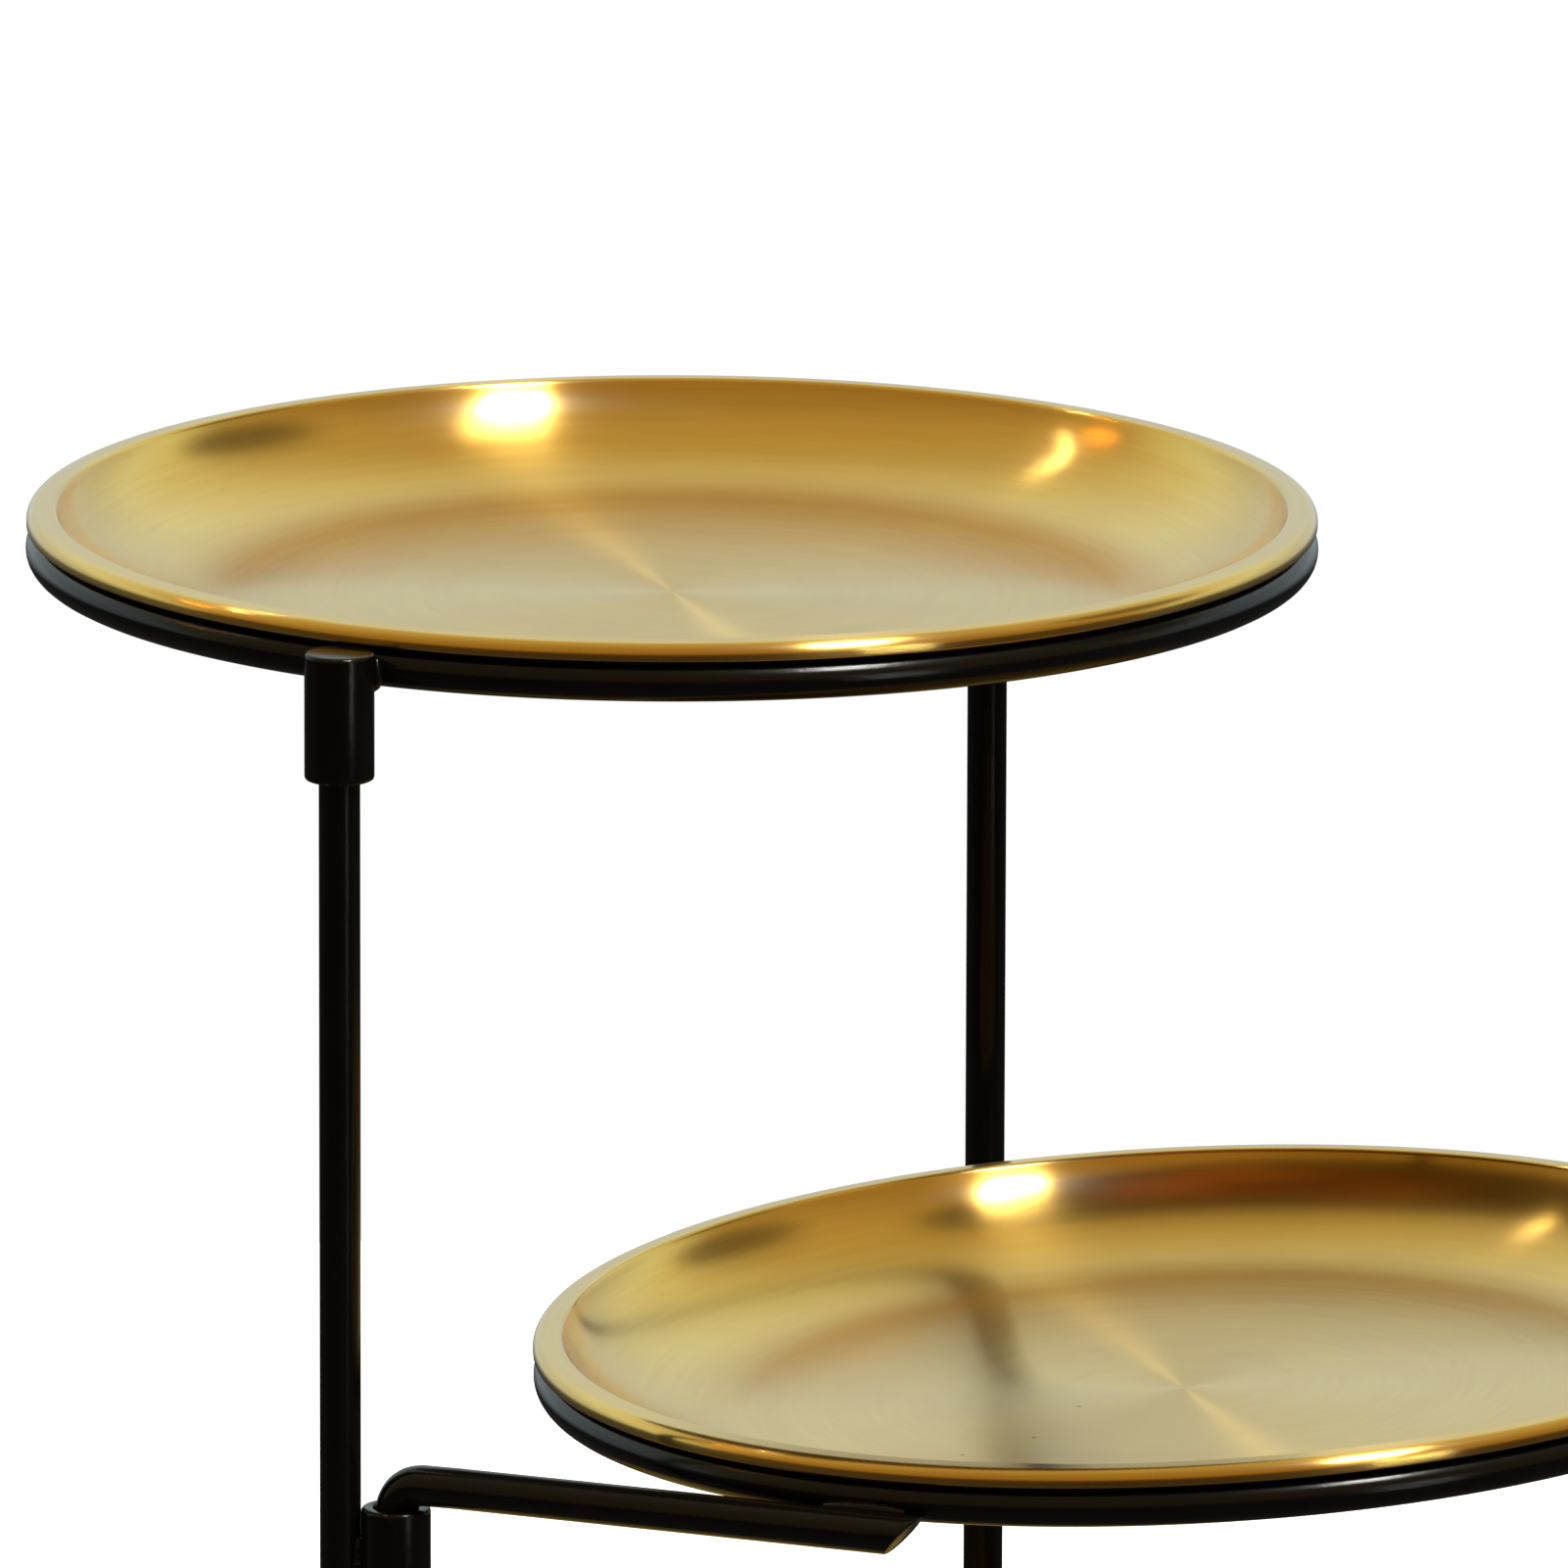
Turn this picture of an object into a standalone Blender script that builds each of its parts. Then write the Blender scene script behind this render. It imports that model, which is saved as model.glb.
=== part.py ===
"""Three-tier cake stand: brass-coloured plates resting in rings of black steel rod.

Two upright posts stand on the Y axis' two sides. The top and the bottom ring are centred between
them, and the middle ring stands out along +X on two arms that plug into sleeves on the posts.
Metres, +Z up, the table at z = 0, and the origin under the middle of the whole stand.
"""
import math

import bmesh
import bpy
from mathutils import Vector

# Driving sizes
PLATE_RADIUS = 0.127          # a 10 inch plate
SHEET = 0.0010                # thickness of the plate's sheet
CREST_RADIUS = 0.1210         # where the wall turns over into the lip
CREST_RISE = 0.0022           # the crest above the lip's outer edge
LIP_ROLL = 0.0023             # how far in from its edge the lip starts to turn down
FLOOR_RADIUS = 0.086          # the plate's flat floor
FLOOR_DEPTH = 0.0152          # the floor's upper face below the lip's outer edge
WALL_END = math.radians(80)   # how far round its ellipse the wall runs

ROD_RADIUS = 0.0040           # all the frame's rod is 8 mm
RING_RADIUS = 0.1230          # a ring's centre line
RING_DROP = 0.0058            # a ring's centre line below its plate's lip edge
SLEEVE_RADIUS = 0.00675
SLEEVE_LENGTH = 0.0250
SLEEVE_END = 0.0030           # the closed end of a sleeve
BORE_RADIUS = 0.0043
CHAMFER = 0.0008
GAP = 0.0003                  # between pieces that touch

TIER_SPACING = 0.1474
TIER_OFFSET = 0.1140          # how far the middle tier stands out from the posts
POST_Y = 0.1325               # a post's distance from the stand's centre plane
MIDDLE_RISE_X = 0.045         # the middle tier's slope along X, and along Y
MIDDLE_RISE_Y = 0.030
ARM_RISE = 0.032              # the front arm's slope along X
ARM_BEND = 0.0060             # radius of the bend's centre line
ARM_SEAT = 0.0048             # an arm's centre line above the mouth of its sleeve
ARM_PIN = 0.0200              # length of the arm's pin inside the sleeve
ARM_REACH = 0.0078            # how far an arm runs on past the middle of the ring
ARM_MITRE = math.radians(49)
SLEEVE_SIDE = math.radians(15.7)   # where the arm's sleeve stands beside its post

CAP_FLOOR = 0.0025
CAP_HEIGHT = 0.0085
CAP_WALL = 0.0014

PLATE_STEPS = 60
RING_STEPS = 60
SLEEVE_STEPS = 20

# Worked out from them
POST_X = -TIER_OFFSET / 2
MIDDLE_X = TIER_OFFSET / 2
BOTTOM_RING_HEIGHT = CAP_FLOOR + GAP + SLEEVE_LENGTH - ROD_RADIUS
MIDDLE_RING_HEIGHT = BOTTOM_RING_HEIGHT + TIER_SPACING
TOP_RING_HEIGHT = MIDDLE_RING_HEIGHT + TIER_SPACING
SIDES = {"front": -1, "rear": 1}

GOLD = ((0.72, 0.52, 0.22), 0.30, 1.0)
BLACK = ((0.012, 0.011, 0.010), 0.25, 0.0)
RUBBER = ((0.020, 0.020, 0.020), 0.70, 0.0)

for old in list(bpy.data.objects):
    bpy.data.objects.remove(old, do_unlink=True)

stand = bpy.data.collections.new("tiered_cake_stand")
cutters = bpy.data.collections.new("cutters")
bpy.context.scene.collection.children.link(stand)
bpy.context.scene.collection.children.link(cutters)


def move_to(collection, obj):
    """Put an object in one collection only."""
    for other in list(obj.users_collection):
        other.objects.unlink(obj)
    collection.objects.link(obj)


def add_finish(obj, finish):
    """Give an object its own material and name it after the object."""
    colour, roughness, metallic = finish
    material = bpy.data.materials.new(obj.name + "_finish")
    material.use_nodes = True
    shader = material.node_tree.nodes["Principled BSDF"]
    shader.inputs["Base Color"].default_value = (*colour, 1.0)
    shader.inputs["Roughness"].default_value = roughness
    shader.inputs["Metallic"].default_value = metallic
    obj.data.materials.append(material)


def finish_piece(obj, name, finish, collection=stand):
    """Name a piece, file it under its collection and give it its finish."""
    obj.name = name
    obj.data.name = name
    move_to(collection, obj)
    add_finish(obj, finish)
    return obj


def turned(name, outline, steps, location, finish):
    """Turn an outline of (radius, height) points, which starts and ends on the Z axis, about it."""
    mesh = bpy.data.meshes.new(name)
    edges = [(i, i + 1) for i in range(len(outline) - 1)]
    mesh.from_pydata([(radius, 0, height) for radius, height in outline], edges, [])
    piece = bpy.data.objects.new(name, mesh)
    stand.objects.link(piece)
    piece.location = location
    screw = piece.modifiers.new("turn", "SCREW")
    screw.axis = "Z"
    screw.steps = steps
    screw.render_steps = steps
    screw.use_merge_vertices = True
    screw.merge_threshold = 0.00001
    screw.use_smooth_shade = True
    return finish_piece(piece, name, finish)


def straight_rod(name, radius, bottom, top, x, y, finish):
    """A straight round bar between two heights."""
    bpy.ops.mesh.primitive_cylinder_add(
        vertices=SLEEVE_STEPS, radius=radius, depth=top - bottom, location=(x, y, (bottom + top) / 2))
    rod = bpy.context.object
    bpy.ops.object.shade_smooth()
    rod.data.set_sharp_from_angle(angle=math.radians(40))
    return finish_piece(rod, name, finish)


def torus(radius, location, collection, name, finish):
    """A round of rod on a ring's centre line."""
    bpy.ops.mesh.primitive_torus_add(
        major_radius=RING_RADIUS, minor_radius=radius, major_segments=RING_STEPS, minor_segments=10,
        location=location)
    bpy.ops.object.shade_smooth()
    return finish_piece(bpy.context.object, name, finish, collection)


# Plates: one pressed sheet, with a flat floor, an elliptical wall and a level lip, rolled down

def plate_outline():
    """The sheet's upper face from the lip's edge in to the centre, then back along its underside."""
    wall_reach = (CREST_RADIUS - FLOOR_RADIUS) / math.sin(WALL_END)
    wall_rise = (CREST_RISE + FLOOR_DEPTH) / (1 - math.cos(WALL_END))
    upper = []
    under = []
    wall_steps = 6
    for step in range(wall_steps + 1):
        turn = WALL_END * step / wall_steps
        point = Vector((FLOOR_RADIUS + wall_reach * math.sin(turn),
                        -FLOOR_DEPTH + wall_rise * (1 - math.cos(turn))))
        along = Vector((wall_reach * math.cos(turn), wall_rise * math.sin(turn))).normalized()
        upper.append(point)
        under.append(point + SHEET * Vector((along.y, -along.x)))
    under[-1].y -= SHEET * 0.8
    roll = LIP_ROLL
    shoulder = Vector((PLATE_RADIUS - roll, CREST_RISE * 0.95))
    turn = Vector((PLATE_RADIUS - roll * 0.24, CREST_RISE * 0.95 - roll * 0.40))
    edge = Vector((PLATE_RADIUS, -SHEET * 0.4))
    upper += [shoulder, turn, edge]
    under += [shoulder - SHEET * Vector((0.25, 0.95)), turn - SHEET * Vector((0.80, 0.60)),
              edge - SHEET * Vector((1, 0))]
    centre_upper = Vector((0, -FLOOR_DEPTH))
    centre_under = Vector((0, -FLOOR_DEPTH - SHEET))
    outline = [centre_upper] + upper + under[::-1] + [centre_under]
    return [tuple(point) for point in outline]


def plate(name, location):
    """A plate, placed by the level of its lip's outer edge."""
    return turned(name, plate_outline(), PLATE_STEPS, location, GOLD)


# Middle tier: its ring and plate lie in a slightly sloping frame

middle_frame = bpy.data.objects.new("middle_tier_frame", None)
stand.objects.link(middle_frame)
middle_frame.location = (MIDDLE_X, 0, MIDDLE_RING_HEIGHT)
middle_frame.rotation_euler = (math.atan(MIDDLE_RISE_Y), -math.atan(MIDDLE_RISE_X), 0)

plate("top_plate", (POST_X, 0, TOP_RING_HEIGHT + RING_DROP))
plate("bottom_plate", (POST_X, 0, BOTTOM_RING_HEIGHT + RING_DROP))
plate("middle_plate", (0, 0, RING_DROP)).parent = middle_frame

torus(ROD_RADIUS, (POST_X, 0, TOP_RING_HEIGHT), stand, "top_ring", BLACK)
torus(ROD_RADIUS, (POST_X, 0, BOTTOM_RING_HEIGHT), stand, "bottom_ring", BLACK)
torus(ROD_RADIUS, (0, 0, 0), stand, "middle_ring", BLACK).parent = middle_frame


# Sleeves: turned blind tubes, all alike, that the posts and the arms plug into

def sleeve(name, x, y, mouth, faces_up, notch_height=None):
    """A sleeve with its mouth at a height, notched where it is welded against a ring."""
    out = 1 if faces_up else -1
    depth = SLEEVE_LENGTH - SLEEVE_END
    outline = [
        (0, -SLEEVE_LENGTH), (SLEEVE_RADIUS - CHAMFER, -SLEEVE_LENGTH),
        (SLEEVE_RADIUS, -SLEEVE_LENGTH + CHAMFER), (SLEEVE_RADIUS, -CHAMFER),
        (SLEEVE_RADIUS - CHAMFER, 0), (BORE_RADIUS + CHAMFER, 0), (BORE_RADIUS, -CHAMFER),
        (BORE_RADIUS, -depth), (0, -depth)]
    outline = [(radius, height * out) for radius, height in outline]
    if faces_up:
        outline.reverse()
    piece = turned(name, outline, SLEEVE_STEPS, (x, y, mouth), BLACK)
    if notch_height is not None:
        cutter = torus(ROD_RADIUS + GAP, (POST_X, 0, notch_height), cutters, name + "_notch", BLACK)
        cutter.hide_render = True
        cutter.display_type = "WIRE"
        notch = piece.modifiers.new("notch", "BOOLEAN")
        notch.operation = "DIFFERENCE"
        notch.solver = "EXACT"
        notch.object = cutter
    return piece


base_socket_mouth = BOTTOM_RING_HEIGHT + ROD_RADIUS
top_sleeve_mouth = TOP_RING_HEIGHT + ROD_RADIUS - SLEEVE_LENGTH
post_bottom = base_socket_mouth - SLEEVE_LENGTH + SLEEVE_END + GAP
post_top = top_sleeve_mouth + SLEEVE_LENGTH - SLEEVE_END - GAP
beside_post = ROD_RADIUS + SLEEVE_RADIUS + GAP
arm_x = POST_X + beside_post * math.cos(SLEEVE_SIDE)
arm_y = POST_Y - beside_post * math.sin(SLEEVE_SIDE)


def touch_height(side):
    """The height of an arm's centre line where it touches the sloping middle ring from below."""
    ring = MIDDLE_RING_HEIGHT + MIDDLE_RISE_Y * RING_RADIUS * side
    return ring - math.sqrt((2 * ROD_RADIUS + GAP) ** 2 - (arm_y - RING_RADIUS) ** 2)


arm_level = touch_height(SIDES["front"]) - ARM_RISE * (MIDDLE_X - arm_x)


def arm_height(side, x):
    """The height of an arm's centre line: both start alike, and the rear one climbs more."""
    touch = touch_height(side)
    return touch + (touch - arm_level) / (MIDDLE_X - arm_x) * (x - MIDDLE_X)


for where, side in SIDES.items():
    sleeve("top_sleeve_" + where, POST_X, side * POST_Y, top_sleeve_mouth, False, TOP_RING_HEIGHT)
    sleeve("base_socket_" + where, POST_X, side * POST_Y, base_socket_mouth, True, BOTTOM_RING_HEIGHT)
    straight_rod(where + "_post", ROD_RADIUS, post_bottom, post_top, POST_X, side * POST_Y, BLACK)
    sleeve(where + "_arm_sleeve", arm_x, side * arm_y, arm_level - ARM_SEAT, True)


# Arms: rod bent down at one end into a pin, and mitred at the other under the middle ring

def arm(name, side):
    """One arm, from the foot of its pin round the bend and out under the ring."""
    y = side * arm_y
    level = arm_level
    foot = level - ARM_SEAT - ARM_PIN
    points = [(arm_x, y, foot)]
    bend_steps = 6
    for step in range(bend_steps + 1):
        turn = math.pi / 2 * step / bend_steps
        points.append((arm_x + ARM_BEND * (1 - math.cos(turn)), y, level - ARM_BEND * (1 - math.sin(turn))))
    far_x = MIDDLE_X + ARM_REACH + 4 * ROD_RADIUS
    points.append((far_x, y, arm_height(side, far_x)))

    curve = bpy.data.curves.new(name, "CURVE")
    curve.dimensions = "3D"
    curve.bevel_depth = ROD_RADIUS
    curve.bevel_resolution = 2
    curve.use_fill_caps = True
    spline = curve.splines.new("POLY")
    spline.points.add(len(points) - 1)
    for spot, point in zip(spline.points, points):
        spot.co = (*point, 1)
    wire = bpy.data.objects.new(name + "_wire", curve)
    stand.objects.link(wire)
    bpy.context.view_layer.update()
    evaluated = wire.evaluated_get(bpy.context.evaluated_depsgraph_get())
    mesh = bpy.data.meshes.new_from_object(evaluated)

    cut_x = MIDDLE_X + ARM_REACH
    cut_point = Vector((cut_x, y, arm_height(side, cut_x)))
    shape = bmesh.new()
    shape.from_mesh(mesh)
    bmesh.ops.remove_doubles(shape, verts=shape.verts, dist=0.00001)
    cut = bmesh.ops.bisect_plane(
        shape, geom=shape.verts[:] + shape.edges[:] + shape.faces[:], plane_co=cut_point,
        plane_no=(math.sin(ARM_MITRE), 0, -math.cos(ARM_MITRE)), clear_outer=True)
    rim = [part for part in cut["geom_cut"] if isinstance(part, bmesh.types.BMEdge)]
    bmesh.ops.contextual_create(shape, geom=rim)
    bmesh.ops.recalc_face_normals(shape, faces=shape.faces)
    shape.to_mesh(mesh)
    shape.free()
    piece = bpy.data.objects.new(name, mesh)
    piece.matrix_world = wire.matrix_world
    stand.objects.link(piece)
    bpy.data.objects.remove(wire, do_unlink=True)
    for face in mesh.polygons:
        face.use_smooth = True
    mesh.set_sharp_from_angle(angle=math.radians(50))
    return finish_piece(piece, name, BLACK)


for where, side in SIDES.items():
    arm(where + "_arm", side)


# Legs and rubber foot caps: the base sockets and two stub legs stand on the table

def foot_cap(name, x, y, leg_radius):
    """A rubber cap pushed over the end of a leg."""
    inner = leg_radius + GAP
    outer = inner + CAP_WALL
    outline = [
        (0, 0), (outer - CHAMFER, 0), (outer, CHAMFER), (outer, CAP_HEIGHT),
        (inner, CAP_HEIGHT), (inner, CAP_FLOOR), (0, CAP_FLOOR)]
    outline.reverse()
    return turned(name, outline, SLEEVE_STEPS, (x, y, 0), RUBBER)


for where, side in SIDES.items():
    foot_cap(where + "_foot_cap", POST_X, side * POST_Y, SLEEVE_RADIUS)
for where, side in {"left": -1, "right": 1}.items():
    leg_x = POST_X + side * RING_RADIUS
    leg_top = BOTTOM_RING_HEIGHT - ROD_RADIUS - GAP
    straight_rod(where + "_leg", ROD_RADIUS, CAP_FLOOR + GAP, leg_top, leg_x, 0, BLACK)
    foot_cap(where + "_foot_cap", leg_x, 0, ROD_RADIUS)
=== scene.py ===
import math

import bmesh
import bpy
from mathutils import Matrix, Vector, noise


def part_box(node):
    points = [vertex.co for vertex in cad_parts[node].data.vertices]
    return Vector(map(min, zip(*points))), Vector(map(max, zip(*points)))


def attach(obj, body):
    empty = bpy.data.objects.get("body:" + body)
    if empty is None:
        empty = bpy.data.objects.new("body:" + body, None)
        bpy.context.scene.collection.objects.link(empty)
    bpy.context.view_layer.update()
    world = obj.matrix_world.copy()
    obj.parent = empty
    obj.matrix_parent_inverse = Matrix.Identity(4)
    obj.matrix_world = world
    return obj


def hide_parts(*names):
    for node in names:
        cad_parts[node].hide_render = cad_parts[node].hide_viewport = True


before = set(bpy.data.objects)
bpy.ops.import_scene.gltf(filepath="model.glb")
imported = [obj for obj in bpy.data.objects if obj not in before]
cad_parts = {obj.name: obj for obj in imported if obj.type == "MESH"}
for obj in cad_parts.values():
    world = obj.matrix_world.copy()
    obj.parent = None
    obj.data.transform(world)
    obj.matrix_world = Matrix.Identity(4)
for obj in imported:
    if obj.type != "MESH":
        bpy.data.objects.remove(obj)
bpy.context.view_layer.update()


# Where the stand is seen from: a little above the top plate, and off to one side of the
# plane that the posts stand in, with a long lens.
SEEN_FROM = (2.058, -3.857, 1.273)
SWUNG_ROUND = math.radians(28.45)
LOOKING_DOWN = math.radians(12.84)
ROLLED_OVER = math.radians(0.17)

lens = bpy.data.cameras.new("lens")
lens.sensor_width = 36
lens.lens = 525.8
lens.clip_start = 0.1
lens.clip_end = 60
camera = bpy.data.objects.new("camera", lens)
camera.matrix_world = (
    Matrix.Translation(SEEN_FROM)
    @ Matrix.Rotation(SWUNG_ROUND, 4, "Z")
    @ Matrix.Rotation(math.pi / 2 - LOOKING_DOWN, 4, "X")
    @ Matrix.Rotation(ROLLED_OVER, 4, "Z")
)
bpy.context.scene.collection.objects.link(camera)
bpy.context.scene.camera = camera
bpy.context.scene.view_settings.view_transform = "Standard"


# The studio: a round white sheet under the stand, in a pale room with a warm ceiling and a
# dark floor. It has windows and a skylight on the right, a narrow window and a warm lamp on
# the left, and a dark corner. Each pane shows once in the brass, not in its reflections.
FLOOR_RADIUS = 0.75
FLOOR_GLOW = 0.80
AWAY = (-0.4764, 0.8792, 0.0)
DARK_CORNER = (0.615, 0.553, 0.562)
WINDOW_DISTANCE = 2.4
WINDOW_LEVEL = Vector((0, 0, 0.25))

# Each pane of light: its name, the way to it, the way its long side runs, its width and
# its length, how bright it is, and its colour.
WINDOWS = [
    ("tall_window", (0.52, -0.19, 0.83), (-0.65, 0.69, 0.32),
     0.36, 1.00, 46.0, (1.0, 0.99, 0.95)),
    ("skylight", (0.38, 0.00, 0.91), (-0.65, 0.69, 0.32),
     0.36, 2.00, 3.0, (1.0, 0.97, 0.86)),
    ("low_window", (0.91, -0.38, 0.02), (0.0, 0.0, 1.0),
     0.55, 1.10, 2.0, (0.92, 0.97, 1.0)),
    ("narrow_window", (-0.645, 0.03, 0.72), (0.16, 0.93, 0.24),
     0.02, 1.50, 17.0, (1.0, 0.97, 0.90)),
    ("lamp", (-0.80, -0.21, 0.56), (0.16, 0.93, 0.24),
     0.24, 0.30, 4.0, (1.0, 0.34, 0.04)),
]

# The room's brightness by angle: 0 is the horizon beyond the stand, 90 straight up, and 180
# the horizon behind the viewer.
ROOM = [
    (-180, (0.012, 0.010, 0.009)),
    (-130, (0.070, 0.062, 0.052)),
    (-60, (0.080, 0.074, 0.066)),
    (-14, (0.030, 0.030, 0.030)),
    (-2, (0.640, 0.740, 0.780)),
    (12, (0.640, 0.750, 0.770)),
    (28, (0.840, 1.000, 1.000)),
    (44, (0.780, 0.850, 0.710)),
    (63, (0.600, 0.530, 0.310)),
    (90, (0.560, 0.450, 0.220)),
    (125, (0.400, 0.300, 0.140)),
    (150, (0.400, 0.260, 0.080)),
    (168, (0.440, 0.250, 0.060)),
    (179, (0.100, 0.060, 0.030)),
]


class Shade:
    """A socket of a node tree. Sums on it add Math nodes, and node() adds any other node."""

    def __init__(self, tree, socket=None):
        self.tree = tree
        self.socket = socket

    def node(self, kind, settings=None, inputs=None, output=0):
        """Add a node, set it up, feed its sockets, and give back one of its outputs."""
        made = self.tree.nodes.new("ShaderNode" + kind)
        for name, setting in (settings or {}).items():
            if name != "stops":
                setattr(made, name, setting)
                continue
            stops = made.color_ramp.elements
            while len(stops) < len(setting):
                stops.new(1.0)
            for stop, (position, colour) in zip(stops, setting):
                stop.position = position
                stop.color = (*colour, 1.0)
        for name, value in (inputs or {}).items():
            if isinstance(value, Shade):
                self.tree.links.new(value.socket, made.inputs[name])
            else:
                made.inputs[name].default_value = value
        return Shade(self.tree, made.outputs[output])

    def feeds(self, node, name):
        self.tree.links.new(self.socket, node.inputs[name])

    def sum(self, operation, first, second):
        return self.node("Math", {"operation": operation}, {0: first, 1: second})

    def __add__(self, other):
        return self.sum("ADD", self, other)

    def __sub__(self, other):
        return self.sum("SUBTRACT", self, other)

    def __rsub__(self, other):
        return self.sum("SUBTRACT", other, self)

    def __mul__(self, other):
        return self.sum("MULTIPLY", self, other)

    def __truediv__(self, other):
        return self.sum("DIVIDE", self, other)

    __radd__ = __add__

    def between(self, low, high):
        """0 below low, 1 above high, and smooth from one to the other."""
        return self.node(
            "MapRange", {"interpolation_type": "SMOOTHSTEP"},
            {"Value": self, "From Min": low, "From Max": high})

    def mix(self, first, second):
        """A colour that goes from first to second as this goes from 0 to 1."""
        return self.node(
            "Mix", {"data_type": "RGBA"}, {"Factor": self, 6: first, 7: second}, 2)


world = bpy.data.worlds.new("room")
bpy.context.scene.world = world
world.use_nodes = True
world.node_tree.nodes.clear()
room = Shade(world.node_tree)
way = room.node("TexCoord", output="Generated")
along = room.node(
    "VectorMath", {"operation": "DOT_PRODUCT"}, {0: way, 1: AWAY}, "Value")
upward = room.node("SeparateXYZ", inputs={0: way}, output="Z")
height = room.sum("ARCTAN2", upward, along) / (2 * math.pi) + 0.5
walls = room.node(
    "ValToRGB", {"stops": [(angle / 360 + 0.5, colour) for angle, colour in ROOM]},
    {"Fac": height})
corner = room.node(
    "VectorMath", {"operation": "DOT_PRODUCT"}, {0: way, 1: DARK_CORNER}, "Value")
shaded = (corner.between(0.950, 0.995) * 0.80).mix(walls, (0.05, 0.04, 0.03, 1.0))
backdrop = room.node("LightPath", output="Is Camera Ray").mix(shaded, (1.0, 1.0, 1.0, 1.0))
light = room.node("Background", inputs={"Color": backdrop, "Strength": 1.0})
light.feeds(world.node_tree.nodes.new("ShaderNodeOutputWorld"), "Surface")

for name, toward, lengthways, width, tall, glow, colour in WINDOWS:
    pane = bpy.data.lights.new(name, "AREA")
    pane.shape = "RECTANGLE"
    pane.size = width
    pane.size_y = tall
    pane.energy = glow * math.pi * width * tall
    pane.color = colour
    pane.cycles.max_bounces = 0
    pane.cycles.use_multiple_importance_sampling = False
    window = bpy.data.objects.new(name, pane)
    facing = Vector(toward).normalized()
    window.location = facing * WINDOW_DISTANCE + WINDOW_LEVEL
    across = Vector(lengthways).cross(facing).normalized()
    turned_to = Matrix((across, facing.cross(across), facing)).transposed()
    window.rotation_euler = turned_to.to_euler()
    window.visible_camera = False
    bpy.context.scene.collection.objects.link(window)

sheet = bmesh.new()
bmesh.ops.create_circle(sheet, cap_ends=True, segments=128, radius=FLOOR_RADIUS)
floor_mesh = bpy.data.meshes.new("floor")
sheet.to_mesh(floor_mesh)
sheet.free()
floor = bpy.data.objects.new("floor", floor_mesh)
bpy.context.scene.collection.objects.link(floor)
white = bpy.data.materials.new("white_sheet")
white.use_nodes = True
paper = white.node_tree.nodes["Principled BSDF"]
paper.inputs["Base Color"].default_value = (0.85, 0.85, 0.85, 1)
paper.inputs["Roughness"].default_value = 0.9
paper.inputs["Specular IOR Level"].default_value = 0.1
paper.inputs["Emission Color"].default_value = (1, 1, 1, 1)
paper.inputs["Emission Strength"].default_value = FLOOR_GLOW
floor_mesh.materials.append(white)
floor.visible_glossy = False


# Bottom ring: 8 mm steel rod rolled to a circle, butt welded, ground and enamelled black.
# It carries the bottom plate, and the whole stand stands on what is welded to it.
ROD = 0.0040
ROD_SIDES = 32
RING = 0.1230
RING_STEPS = 240
SEAM_WIDTH = 0.0035
SEAM_SWELL = 0.00012
UP = Vector((0, 0, 1))
ENAMEL = (0.0022, 0.0020, 0.0018)
BARE = (0.055, 0.046, 0.040, 1.0)


def new_finish(name, constants):
    """A material with one shader, whose numbers that are the same all over are set on it."""
    material = bpy.data.materials.new(name)
    material.use_nodes = True
    shader = material.node_tree.nodes["Principled BSDF"]
    for socket, value in constants.items():
        shader.inputs[socket].default_value = value
    return material, shader, Shade(material.node_tree)


def black_enamel(name, rubbed):
    """Gloss enamel with a faint orange peel, fine dust, and thin places on the edges."""
    material, shader, coat = new_finish(
        name, {"IOR": 1.5, "Specular IOR Level": 0.22, "Metallic": 0.0})
    spot = coat.node("TexCoord", output="Object")
    cloud = coat.node("TexNoise", inputs={"Vector": spot, "Scale": 48.0, "Detail": 3.0})
    dust = coat.node("TexNoise", inputs={"Vector": spot, "Scale": 900.0, "Detail": 2.0})
    peel = coat.node("TexNoise", inputs={"Vector": spot, "Scale": 520.0, "Detail": 1.0})
    chips = coat.node("TexNoise", inputs={"Vector": spot, "Scale": 340.0, "Detail": 4.0})
    worn = coat.node("Attribute", {"attribute_name": "wear"}, output="Fac")
    bare = (worn * rubbed + chips).between(1.02, 1.10)
    dusty = dust.between(0.60, 0.78) * cloud.between(0.45, 0.70)
    body = (dusty * 0.35).mix((*ENAMEL, 1.0), (0.008, 0.0075, 0.007, 1.0))
    bare.mix(body, BARE).feeds(shader, "Base Color")
    (0.15 + cloud * 0.06 + dusty * 0.06 + bare * 0.2).feeds(shader, "Roughness")
    skin = coat.node(
        "Bump", inputs={"Strength": 0.10, "Distance": 0.0002,
                        "Height": peel + cloud * 0.5 - bare * 0.6})
    skin.feeds(shader, "Normal")
    return material


def made(name, shape, finish, sharp=46):
    """Turn a finished shape into a smooth object in the scene."""
    bmesh.ops.recalc_face_normals(shape, faces=shape.faces)
    mesh = bpy.data.meshes.new(name)
    shape.to_mesh(mesh)
    shape.free()
    mesh.shade_smooth()
    mesh.set_sharp_from_angle(angle=math.radians(sharp))
    mesh.materials.append(finish)
    piece = bpy.data.objects.new(name, mesh)
    bpy.context.scene.collection.objects.link(piece)
    return piece


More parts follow.
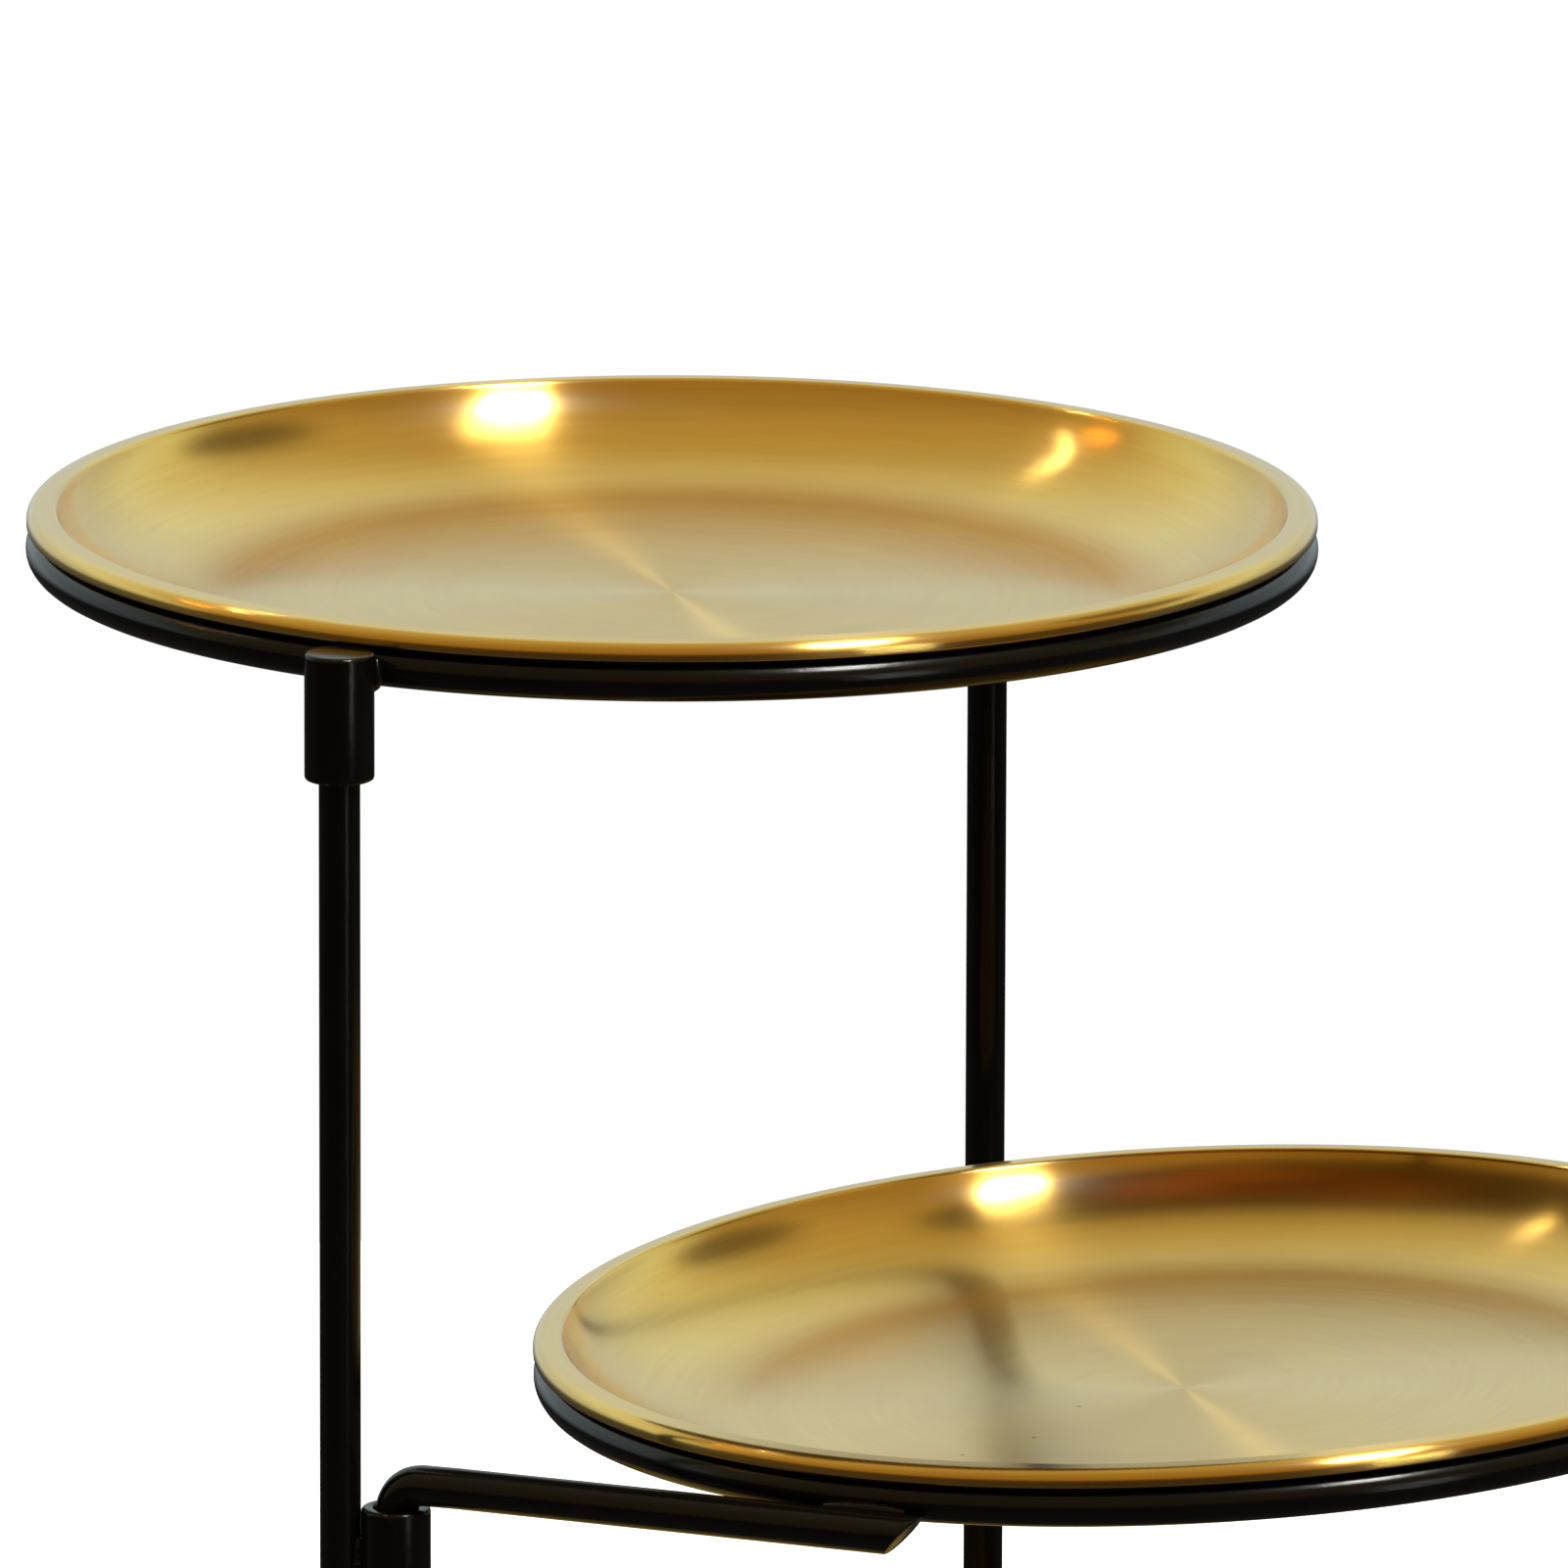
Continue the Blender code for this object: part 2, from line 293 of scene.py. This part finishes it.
def drawn(name, stations, over, finish, sides=ROD_SIDES, closed=False):
    """A round bar through stations of (point, radius, wear). Its ends are flat."""
    shape = bmesh.new()
    wear = shape.verts.layers.float.new("wear")
    last = len(stations) - 1
    rounds = []
    for index, (point, radius, worn) in enumerate(stations):
        before = stations[index - 1 if index or closed else 0][0]
        after = stations[(index + 1) % len(stations) if index < last or closed else last][0]
        along = (after - before).normalized()
        side = along.cross(over).normalized()
        top = side.cross(along)
        corners = []
        for step in range(sides):
            turn = 2 * math.pi * step / sides
            out = math.cos(turn) * side + math.sin(turn) * top
            corner = shape.verts.new(point + radius * out)
            corner[wear] = worn
            corners.append(corner)
        rounds.append(corners)
    following = rounds[1:] + rounds[:1] if closed else rounds[1:]
    for here, there in zip(rounds, following):
        for step in range(sides):
            other = (step + 1) % sides
            shape.faces.new((here[step], here[other], there[other], there[step]))
    if not closed:
        shape.faces.new(rounds[0][::-1])
        shape.faces.new(rounds[-1])
    return made(name, shape, finish)


def rolled_ring(name, finish, seam):
    """A ring in its own flat axes, very slightly fuller where its ends are welded together."""
    stations = []
    for step in range(RING_STEPS):
        turn = 2 * math.pi * step / RING_STEPS
        point = Vector((RING * math.cos(turn), RING * math.sin(turn), 0))
        away = abs(math.remainder(turn - seam, 2 * math.pi)) * RING / SEAM_WIDTH
        stations.append((point, ROD + SEAM_SWELL * math.exp(-away * away), 0.0))
    return drawn(name, stations, UP, finish, ROD_SIDES, True)


frame_enamel = black_enamel("frame_enamel", 0.42)
sleeve_enamel = black_enamel("sleeve_enamel", 0.52)

low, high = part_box("bottom_ring")
bottom_centre = (low + high) / 2
bottom_ring = rolled_ring("bottom_hoop", frame_enamel, math.radians(262))
bottom_ring.location = bottom_centre
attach(bottom_ring, "base")
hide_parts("bottom_ring")


# Base sockets: turned blind steel tubes, coped to the bottom ring's side and welded to it
# below the plate's lip, mouth up. The posts stand in them.
SLEEVE = 0.00675
SLEEVE_LENGTH = 0.0250
SLEEVE_END = 0.0030
SLEEVE_SIDES = 56
BORE = 0.0043
EDGE = 0.0009
WELD_SINK = 0.0006
SLEEVE_WELD = 0.0014


def eased(corners, size):
    """An outline with each of its inner corners rounded, and marked as worn there."""
    line = [(*corners[0], 0.0)]
    for before, corner, after in zip(corners, corners[1:], corners[2:]):
        here = Vector(corner)
        back = Vector(before) - here
        onward = Vector(after) - here
        start = here + back.normalized() * min(size, back.length * 0.45)
        end = here + onward.normalized() * min(size, onward.length * 0.45)
        for step in range(6):
            t = step / 5
            point = start * (1 - t) ** 2 + here * (2 * t * (1 - t)) + end * t * t
            line.append((point.x, point.y, math.sin(math.pi * t)))
    line.append((*corners[-1], 0.0))
    return line


def turned(name, outline, steps, finish):
    """Turn an outline of (radius, height, wear), which starts and ends on the axis."""
    shape = bmesh.new()
    wear = shape.verts.layers.float.new("wear")
    rounds = []
    for radius, level, worn in outline:
        spread = steps if radius > 1e-7 else 1
        corners = []
        for step in range(spread):
            turn = 2 * math.pi * step / steps
            corner = shape.verts.new((radius * math.cos(turn), radius * math.sin(turn), level))
            corner[wear] = worn
            corners.append(corner)
        rounds.append(corners)
    for here, there in zip(rounds, rounds[1:]):
        for step in range(steps):
            other = (step + 1) % steps
            face = [here[step % len(here)], here[other % len(here)],
                    there[other % len(there)], there[step % len(there)]]
            shape.faces.new(list(dict.fromkeys(face)))
    return made(name, shape, finish)


def sleeve(name, place, faces_up, finish):
    """A blind tube with its mouth at a place."""
    out = 1 if faces_up else -1
    depth = SLEEVE_LENGTH - SLEEVE_END
    corners = [(0, -SLEEVE_LENGTH), (SLEEVE, -SLEEVE_LENGTH), (SLEEVE, 0),
               (BORE, 0), (BORE, -depth), (0, -depth)]
    outline = eased([(radius, level * out) for radius, level in corners], EDGE)
    piece = turned(name, outline, SLEEVE_SIDES, finish)
    piece.location = place
    return piece


def bead(name, points, radius, over, finish):
    """A weld bead laid along some points, rippled, thick in the middle and thin at its ends."""
    stations = []
    last = len(points) - 1
    for index, point in enumerate(points):
        swell = math.sin(math.pi * (0.04 + 0.92 * index / last)) ** 0.4
        ripple = 1 + 0.07 * math.sin(index * 1.9) + 0.10 * noise.noise(point * 900)
        stations.append((point, radius * swell * ripple, 0.35))
    return drawn(name, stations, over, finish, 16)


def saddle(centre, side, tube, sink):
    """The line along which a bead lies between a ring and the upright tube on its outer side."""
    reach = abs(side)
    tube = tube + sink
    rod = ROD + sink
    widest = math.acos((tube**2 + reach**2 - (RING + rod) ** 2) / (2 * reach * tube))
    points = []
    for step in range(49):
        turn = math.radians(-208 + 236 * step / 48)
        lean = widest * math.cos(turn)
        x = tube * math.sin(lean)
        y = reach - tube * math.cos(lean)
        room_left = rod**2 - (math.hypot(x, y) - RING) ** 2
        level = math.copysign(math.sqrt(max(room_left, 0)), math.sin(turn))
        points.append(centre + Vector((x, math.copysign(y, side), level)))
    return points


for where in ("front", "rear"):
    low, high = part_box("base_socket_" + where)
    middle = (low + high) / 2
    socket = sleeve(where + "_socket", (middle.x, middle.y, high.z), True, sleeve_enamel)
    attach(socket, "base")
    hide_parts("base_socket_" + where)
    line = saddle(bottom_centre, middle.y, SLEEVE, WELD_SINK)
    weld = bead(where + "_socket_weld", line, SLEEVE_WELD, Vector((0, 1, 0)), frame_enamel)
    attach(weld, "base")


# Legs: two stubs of the same rod, coped and welded under the bottom ring, which keep the
# stand from rocking on its sockets. Each bead starts and ends, thin, on the plate's side.
STUB_SINK = 0.0004
STUB_WELD = 0.0011


def bar(points, radius, finish, name, over):
    """A straight or bent bar with its two ends' corners rounded off."""
    ease = radius * 0.14
    start = (points[1] - points[0]).normalized()
    end = (points[-2] - points[-1]).normalized()
    stations = []
    for step in range(4):
        turn = math.pi / 2 * step / 3
        inset = ease * (1 - math.cos(turn))
        drawn_in = radius - ease * (1 - math.sin(turn))
        stations.append((points[0] + start * inset, drawn_in, 1 - step / 3))
    stations += [(point, radius, 0.0) for point in points[1:-1]]
    for step in (3, 2, 1, 0):
        turn = math.pi / 2 * step / 3
        inset = ease * (1 - math.cos(turn))
        drawn_in = radius - ease * (1 - math.sin(turn))
        stations.append((points[-1] + end * inset, drawn_in, 1 - step / 3))
    return drawn(name, stations, over, finish)


for where in ("left", "right"):
    low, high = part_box(where + "_leg")
    middle = (low + high) / 2
    foot = Vector((middle.x, middle.y, low.z))
    top = Vector((middle.x, middle.y, high.z + ROD * 0.9))
    leg = bar(
        [foot, (foot + top) / 2, top], ROD, frame_enamel, where + "_stub", Vector((1, 0, 0)))
    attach(leg, "base")
    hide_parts(where + "_leg")
    line = []
    around = ROD + STUB_SINK
    inward = 0.0 if where == "left" else math.pi
    for step in range(49):
        turn = inward + 2 * math.pi * step / 48
        x = around * math.cos(turn)
        y = around * math.sin(turn)
        off = math.hypot(middle.x + x - bottom_centre.x, y) - RING
        level = -math.sqrt(max(around**2 - off * off, 0))
        line.append(Vector((middle.x + x, middle.y + y, bottom_centre.z + level)))
    weld = bead(where + "_stub_weld", line, STUB_WELD, UP, frame_enamel)
    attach(weld, "base")


# Foot caps: four moulded black rubber caps, pushed over the sockets and the legs so that
# the steel doesn't mark a table.
def black_rubber(name):
    """Dull moulded rubber, paler where it is handled and dusty down at the table."""
    material, shader, skin = new_finish(name, {"IOR": 1.5, "Specular IOR Level": 0.3})
    spot = skin.node("TexCoord", output="Object")
    grain = skin.node("TexNoise", inputs={"Vector": spot, "Scale": 1400.0, "Detail": 3.0})
    cloud = skin.node("TexNoise", inputs={"Vector": spot, "Scale": 160.0, "Detail": 3.0})
    worn = skin.node("Attribute", {"attribute_name": "wear"}, output="Fac")
    level = skin.node("SeparateXYZ", inputs={0: spot}, output="Z")
    dusty = (1 - level.between(0.0, 0.004)) * cloud.between(0.35, 0.7)
    pale = (worn * 0.35 + dusty * 0.5 + cloud * 0.25)
    tone = pale.mix((0.011, 0.011, 0.011, 1.0), (0.050, 0.047, 0.044, 1.0))
    tone.feeds(shader, "Base Color")
    (0.58 + grain * 0.18 + dusty * 0.12).feeds(shader, "Roughness")
    bump = skin.node(
        "Bump", inputs={"Strength": 0.35, "Distance": 0.0002, "Height": grain + cloud})
    bump.feeds(shader, "Normal")
    return material


rubber = black_rubber("cap_rubber")
CAP_FLOOR = 0.0025
for where, held in (("front", SLEEVE), ("rear", SLEEVE), ("left", ROD), ("right", ROD)):
    low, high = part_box(where + "_foot_cap")
    outer = (high.x - low.x) / 2
    inner = held + 0.0003
    rise = high.z - low.z
    corners = [(0, 0), (outer - 0.0002, 0), (outer - 0.0002, 0.0016), (outer - 0.0005, 0.0021),
               (outer - 0.0005, rise - 0.0018), (outer, rise - 0.0013), (outer, rise),
               (inner, rise), (inner, CAP_FLOOR), (0, CAP_FLOOR)]
    cap = turned(where + "_cap", eased(corners, 0.0005), 64, rubber)
    cap.location = ((low.x + high.x) / 2, (low.y + high.y) / 2, low.z)
    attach(cap, "base")
    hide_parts(where + "_foot_cap")


# Posts: two straight lengths of the rod. Each stands in its base socket and carries the
# top ring on its upper end.
for where in ("front", "rear"):
    low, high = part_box(where + "_post")
    middle = (low + high) / 2
    points = []
    for step in range(25):
        points.append(Vector((middle.x, middle.y, low.z + (high.z - low.z) * step / 24)))
    post = bar(points, ROD, frame_enamel, where + "_upright", Vector((1, 0, 0)))
    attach(post, "base")
    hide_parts(where + "_post")


# Arm sleeves: the same blind tubes again, mouth up, each tacked to the side of its post by
# two runs of weld in the grooves between them.
def groove(first, first_radius, second, second_radius, side):
    """In plan, the point at two distances from two centres, on one side of their line."""
    across = second - first
    apart = across.length
    along = (first_radius**2 - second_radius**2 + apart**2) / (2 * apart)
    off = math.sqrt(max(first_radius**2 - along**2, 0))
    way = across / apart
    return first + way * along + Vector((-way.y, way.x)) * off * side


for where in ("front", "rear"):
    low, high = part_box(where + "_arm_sleeve")
    middle = (low + high) / 2
    holder = sleeve(where + "_holder", (middle.x, middle.y, high.z), True, sleeve_enamel)
    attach(holder, "base")
    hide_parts(where + "_arm_sleeve")
    low_post, high_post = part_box(where + "_post")
    post_centre = ((low_post + high_post) / 2).xy
    for side, tag in ((1, "inner"), (-1, "outer")):
        spot = groove(post_centre, ROD + 0.0005, middle.xy, SLEEVE + 0.0005, side)
        line = []
        for step in range(29):
            depth = 0.0062 + 0.0135 * step / 28
            line.append(Vector((*spot, high.z - depth)))
        weld = bead(
            where + "_holder_weld_" + tag, line, SLEEVE_WELD, Vector((1, 0, 0)), frame_enamel)
        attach(weld, "base")


# Middle ring: like the others, but held out to one side on two arms. It isn't quite level.
MIDDLE_SLOPE_X = 0.045
MIDDLE_SLOPE_Y = 0.030
low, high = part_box("middle_ring")
middle_centre = (low + high) / 2
middle_lie = (
    Matrix.Rotation(-math.atan(MIDDLE_SLOPE_X), 3, "Y")
    @ Matrix.Rotation(math.atan(MIDDLE_SLOPE_Y), 3, "X"))
middle_ring = rolled_ring("middle_hoop", frame_enamel, math.radians(20))
middle_ring.matrix_world = Matrix.LocRotScale(middle_centre, middle_lie, None)
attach(middle_ring, "middle_tier")
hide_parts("middle_ring")


# Arms: the rod again, bent down at one end into a pin that drops into the arm sleeve, cut
# to a mitre at the other, and welded along the middle ring's lower outer side. The rear
# one climbs a little more, because the ring isn't level.
ARM_BEND = 0.0060
ARM_SEAT = 0.0048
ARM_PIN = 0.0200
ARM_REACH = 0.0078
ARM_MITRE = math.radians(49)
ARM_WELD = 0.0013
CLEAR = 0.0003


def mitred(piece, place, mitre):
    """Saw the end off an arm and take the burr off the cut."""
    shape = bmesh.new()
    shape.from_mesh(piece.data)
    wear = shape.verts.layers.float["wear"]
    facing = Vector((math.sin(mitre), 0, -math.cos(mitre)))
    bmesh.ops.bisect_plane(
        shape, geom=shape.verts[:] + shape.edges[:] + shape.faces[:], plane_co=place,
        plane_no=facing, clear_outer=True)
    rim = [edge for edge in shape.edges if edge.is_boundary]
    bmesh.ops.contextual_create(shape, geom=rim)
    rim = [edge for edge in shape.edges if abs((edge.verts[0].co - place).dot(facing)) < 1e-6
           and abs((edge.verts[1].co - place).dot(facing)) < 1e-6]
    for edge in rim:
        for corner in edge.verts:
            corner[wear] = 1.0
    bmesh.ops.bevel(shape, geom=rim, offset=0.00035, segments=3, profile=0.5, affect="EDGES")
    bmesh.ops.recalc_face_normals(shape, faces=shape.faces)
    shape.to_mesh(piece.data)
    shape.free()
    piece.data.shade_smooth()
    piece.data.set_sharp_from_angle(angle=math.radians(46))


for where, side in (("front", -1), ("rear", 1)):
    low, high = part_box(where + "_arm_sleeve")
    pin = (low + high) / 2
    level = high.z + ARM_SEAT
    under = math.sqrt((2 * ROD + CLEAR) ** 2 - (abs(pin.y) - RING) ** 2)
    touch = middle_centre.z + MIDDLE_SLOPE_Y * RING * side - under
    climb = (touch - level) / (middle_centre.x - pin.x)
    points = [Vector((pin.x, pin.y, level - ARM_SEAT - ARM_PIN)),
              Vector((pin.x, pin.y, level - ARM_SEAT - ARM_PIN * 0.5))]
    for step in range(15):
        turn = math.pi / 2 * step / 14
        points.append(Vector((pin.x + ARM_BEND * (1 - math.cos(turn)), pin.y,
                              level - ARM_BEND * (1 - math.sin(turn)))))
    cut_x = middle_centre.x + ARM_REACH
    far_x = cut_x + 4 * ROD
    points[-1].z += climb * ARM_BEND * 0.5
    for step in range(1, 17):
        x = pin.x + ARM_BEND + (far_x - pin.x - ARM_BEND) * step / 16
        points.append(Vector((x, pin.y, level + climb * (x - pin.x))))
    arm = bar(points, ROD, frame_enamel, where + "_bracket", Vector((0, 1, 0)))
    mitred(arm, Vector((cut_x, pin.y, level + climb * (cut_x - pin.x))), ARM_MITRE)
    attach(arm, "middle_tier")
    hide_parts(where + "_arm")
    for hand, tag, start, end in ((1, "upper", -0.011, 0.0065), (-1, "lower", -0.009, 0.0050)):
        line = []
        for step in range(33):
            x = start + (end - start) * step / 32
            rim = middle_lie @ Vector((x, side * math.sqrt(RING**2 - x * x), 0)) + middle_centre
            here = Vector((pin.y, level + climb * (rim.x - pin.x)))
            spot = groove(Vector((rim.y, rim.z)), ROD + 0.0005, here, ROD + 0.0005, hand * side)
            line.append(Vector((rim.x, spot.x, spot.y)))
        weld = bead(
            where + "_bracket_weld_" + tag, line, ARM_WELD, Vector((0, 1, 0)), frame_enamel)
        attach(weld, "middle_tier")


# Top ring, and the two sleeves welded to its outer side, mouth down. They drop over the
# upper ends of the posts, so that the top tier lifts off.
low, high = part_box("top_ring")
top_centre = (low + high) / 2
top_ring = rolled_ring("top_hoop", frame_enamel, math.radians(100))
top_ring.location = top_centre
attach(top_ring, "top_tier")
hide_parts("top_ring")
for where in ("front", "rear"):
    low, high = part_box("top_sleeve_" + where)
    middle = (low + high) / 2
    holder = sleeve(where + "_top_holder", (middle.x, middle.y, low.z), False, sleeve_enamel)
    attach(holder, "top_tier")
    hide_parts("top_sleeve_" + where)
    line = saddle(top_centre, middle.y, SLEEVE, WELD_SINK)
    weld = bead(where + "_top_weld", line, SLEEVE_WELD, Vector((0, 1, 0)), frame_enamel)
    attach(weld, "top_tier")


# Plates: one thin brass sheet each, pressed to a flat floor, a rising wall and a flat lip
# that is rolled down at its edge, then brushed round and round on a lathe and lacquered.
LIP = 0.1270
SHEET = 0.0010
FLOOR_DEPTH = 0.0152
FLAT = 0.086
WALL_REACH = 0.03554
WALL_RISE = 0.02106
WALL_STOP = math.radians(78)
TURNOVER = 0.0012
LIP_TILT = math.radians(4)
ROLL = 0.0023
SKIRT = 0.0008
RING_DROP = 0.0058
PLATE_STEPS = 288


def brushed_brass(name, seed):
    """Brass brushed in circles, with patches, fine rings and a few dark specks."""
    material, shader, brass = new_finish(
        name, {"Metallic": 1.0, "Anisotropic": 0.98, "Anisotropic Rotation": 0.25,
               "Coat Weight": 0.35, "Coat Roughness": 0.24})
    spot = brass.node("TexCoord", output="Object")
    flat = brass.node("VectorMath", {"operation": "MULTIPLY"}, {0: spot, 1: (1, 1, 0)})
    radius = brass.node("VectorMath", {"operation": "LENGTH"}, {0: flat}, "Value")
    way = brass.node("VectorMath", {"operation": "NORMALIZE"}, {0: flat})
    compass = brass.node("SeparateXYZ", inputs={0: way}, output="X")
    north = brass.node("SeparateXYZ", inputs={0: way}, output="Y")

    def rings(pitch, arc, detail):
        """Noise drawn out round the plate: pitch is the width of a scratch in metres."""
        place = brass.node(
            "CombineXYZ",
            inputs={"X": radius / pitch, "Y": compass * arc, "Z": north * arc + seed})
        return brass.node("TexNoise", inputs={"Vector": place, "Scale": 1.0, "Detail": detail})

    fine = rings(0.00022, 7.0, 2.0)
    broad = rings(0.0016, 2.2, 3.0)
    band = rings(0.0110, 0.8, 2.0)
    patch = brass.node(
        "TexNoise", {"noise_dimensions": "4D"},
        {"Vector": spot, "W": seed, "Scale": 26.0, "Detail": 4.0})
    cells = brass.node(
        "TexVoronoi", {"voronoi_dimensions": "4D"},
        {"Vector": spot, "W": seed, "Scale": 170.0}, "Distance")
    specks = (1 - cells.between(0.05, 0.13)) * patch.between(0.58, 0.64)
    tone = fine * 0.35 + broad * 0.35 + band * 0.30
    colour = tone.between(0.30, 0.70).mix((0.76, 0.462, 0.096, 1.0), (0.83, 0.540, 0.130, 1.0))
    toned = (patch.between(0.40, 0.75) * 0.30).mix(colour, (0.68, 0.40, 0.085, 1.0))
    (specks * 0.75).mix(toned, (0.16, 0.10, 0.04, 1.0)).feeds(shader, "Base Color")
    rough = 0.125 + fine * 0.03 + broad * 0.04 + patch * 0.05 + specks * 0.2
    rough.feeds(shader, "Roughness")
    bump = brass.node(
        "Bump", inputs={"Strength": 0.05, "Distance": 0.0001,
                        "Height": fine * 0.6 + broad - specks})
    bump.feeds(shader, "Normal")
    return material


def plate_outline():
    """The sheet from the floor's centre out to the lip along its upper face, then back under."""
    face = [(Vector((FLAT * step / 14, -FLOOR_DEPTH)), Vector((0, 1))) for step in range(1, 14)]
    for step in range(37):
        turn = WALL_STOP * step / 36
        rise = WALL_RISE * (1 - math.cos(turn))
        spot = Vector((FLAT + WALL_REACH * math.sin(turn), rise - FLOOR_DEPTH))
        along = Vector((WALL_REACH * math.cos(turn), WALL_RISE * math.sin(turn))).normalized()
        face.append((spot, Vector((-along.y, along.x))))
    steep = math.atan2(along.y, along.x)
    tilt = LIP_TILT
    pivot = spot + Vector((math.sin(steep), -math.cos(steep))) * TURNOVER
    for step in range(1, 11):
        turn = steep - (steep + tilt) * step / 10
        out = Vector((-math.sin(turn), math.cos(turn)))
        face.append((pivot + out * TURNOVER, out))
    crest, lean = face[-1]
    shoulder = Vector((LIP - ROLL, crest.y - (LIP - ROLL - crest.x) * math.tan(tilt)))
    for step in range(1, 6):
        face.append((crest.lerp(shoulder, step / 5), Vector((math.sin(tilt), math.cos(tilt)))))
    pivot = shoulder - Vector((math.sin(tilt), math.cos(tilt))) * ROLL
    for step in range(1, 13):
        turn = tilt + (math.radians(89) - tilt) * step / 12
        out = Vector((math.sin(turn), math.cos(turn)))
        face.append((pivot + out * ROLL, out))
    spot, out = face[-1]
    for step in range(1, 4):
        face.append((spot - Vector((0, SKIRT)) * step / 3, out))
    outline = [(0.0, -FLOOR_DEPTH, 0.0)]
    for spot, out in face:
        outline.append((spot.x, spot.y, 0.0))
    spot, out = face[-1]
    heart = spot - out * SHEET / 2
    for step in range(1, 8):
        turn = math.pi * step / 8
        side = out * math.cos(turn) + Vector((out.y, -out.x)) * math.sin(turn)
        point = heart + side * SHEET / 2
        outline.append((point.x, point.y, 1.0))
    for spot, out in reversed(face):
        point = spot - out * SHEET
        outline.append((point.x, point.y, 0.0))
    outline.append((0.0, -FLOOR_DEPTH - SHEET, 0.0))
    return outline


level = Matrix.Identity(3)
for tier, centre, lie, seed in (
        ("bottom", bottom_centre, level, 3.0), ("middle", middle_centre, middle_lie, 11.0),
        ("top", top_centre, level, 27.0)):
    finish = brushed_brass(tier + "_brass", seed)
    plate = turned(tier + "_dish", plate_outline(), PLATE_STEPS, finish)
    seat = centre + lie @ Vector((0, 0, RING_DROP))
    plate.matrix_world = Matrix.LocRotScale(seat, lie, None)
    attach(plate, tier + "_plate")
    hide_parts(tier + "_plate")
